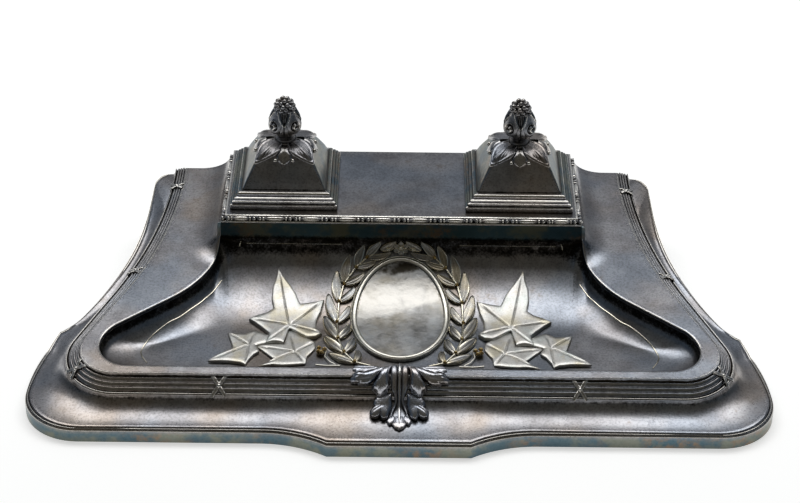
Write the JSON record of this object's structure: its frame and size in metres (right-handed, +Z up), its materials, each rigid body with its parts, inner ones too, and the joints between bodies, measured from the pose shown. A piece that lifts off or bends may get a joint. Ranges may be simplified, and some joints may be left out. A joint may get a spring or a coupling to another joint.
{
  "type": "desk inkstand",
  "caption": "Desk inkstand with a curved pen tray, hinged square lids with bud finials over glass ink wells, and an oval medallion.",
  "frame": {"origin": "on the table, under the centre of the body", "axes": "+X to the right, +Y to the rear, +Z up; the pen tray is at the front"},
  "size_m": [0.36, 0.2, 0.0993],
  "materials": {
    "plated_body": "oxidised silver plate, satin",
    "plated_ornament": "silver plate worn bright on the high places",
    "polished_plaque": "polished silver plate",
    "gilt": "worn gilding",
    "box_metal": "plain sheet",
    "nut_brass": "plain",
    "glass": "clear pressed glass",
    "board_wood": "plain board",
    "felt": "felt"
  },
  "bodies": {
    "stand": {"base_skirt": "plated_body", "reed_moulding": "plated_body", "border_plate": "plated_body", "pen_tray": "plated_body", "deck_plate": "plated_body", "bead_moulding": "plated_ornament", "back_plate": "plated_body", "ribbon_ties": "plated_ornament", "medallion_frame": "plated_ornament", "medallion_plaque": "polished_plaque", "wreath_left": "plated_ornament", "wreath_right": "plated_ornament", "wreath_rosette": "plated_ornament", "ivy_left": "plated_ornament", "ivy_right": "plated_ornament", "ivy_berries": "gilt", "clasp_leaf": "plated_ornament", "well_box_left": "box_metal", "well_box_right": "box_metal", "glass_well_left": "glass", "glass_well_right": "glass", "hinge_foot_left": "plated_body", "hinge_foot_right": "plated_body", "hinge_pin_left": "box_metal", "hinge_pin_right": "box_metal", "base_board": "board_wood", "base_felt": "felt"},
    "lid_left": {"lid_left": "plated_body", "calyx_left": "plated_ornament", "finial_left": "plated_ornament", "finial_nut_left": "nut_brass", "hinge_leaf_left": "plated_body"},
    "lid_right": {"lid_right": "plated_body", "calyx_right": "plated_ornament", "finial_right": "plated_ornament", "finial_nut_right": "nut_brass", "hinge_leaf_right": "plated_body"}
  },
  "joints": [
    {"name": "lid_left_hinge", "type": "hinge", "parent": "stand", "child": "lid_left", "pos_m": [-0.0602, 0.0975, 0.05], "axis": [-1, 0, 0], "range_deg": [0, 105]},
    {"name": "lid_right_hinge", "type": "hinge", "parent": "stand", "child": "lid_right", "pos_m": [0.0602, 0.0975, 0.05], "axis": [-1, 0, 0], "range_deg": [0, 105]}
  ]
}
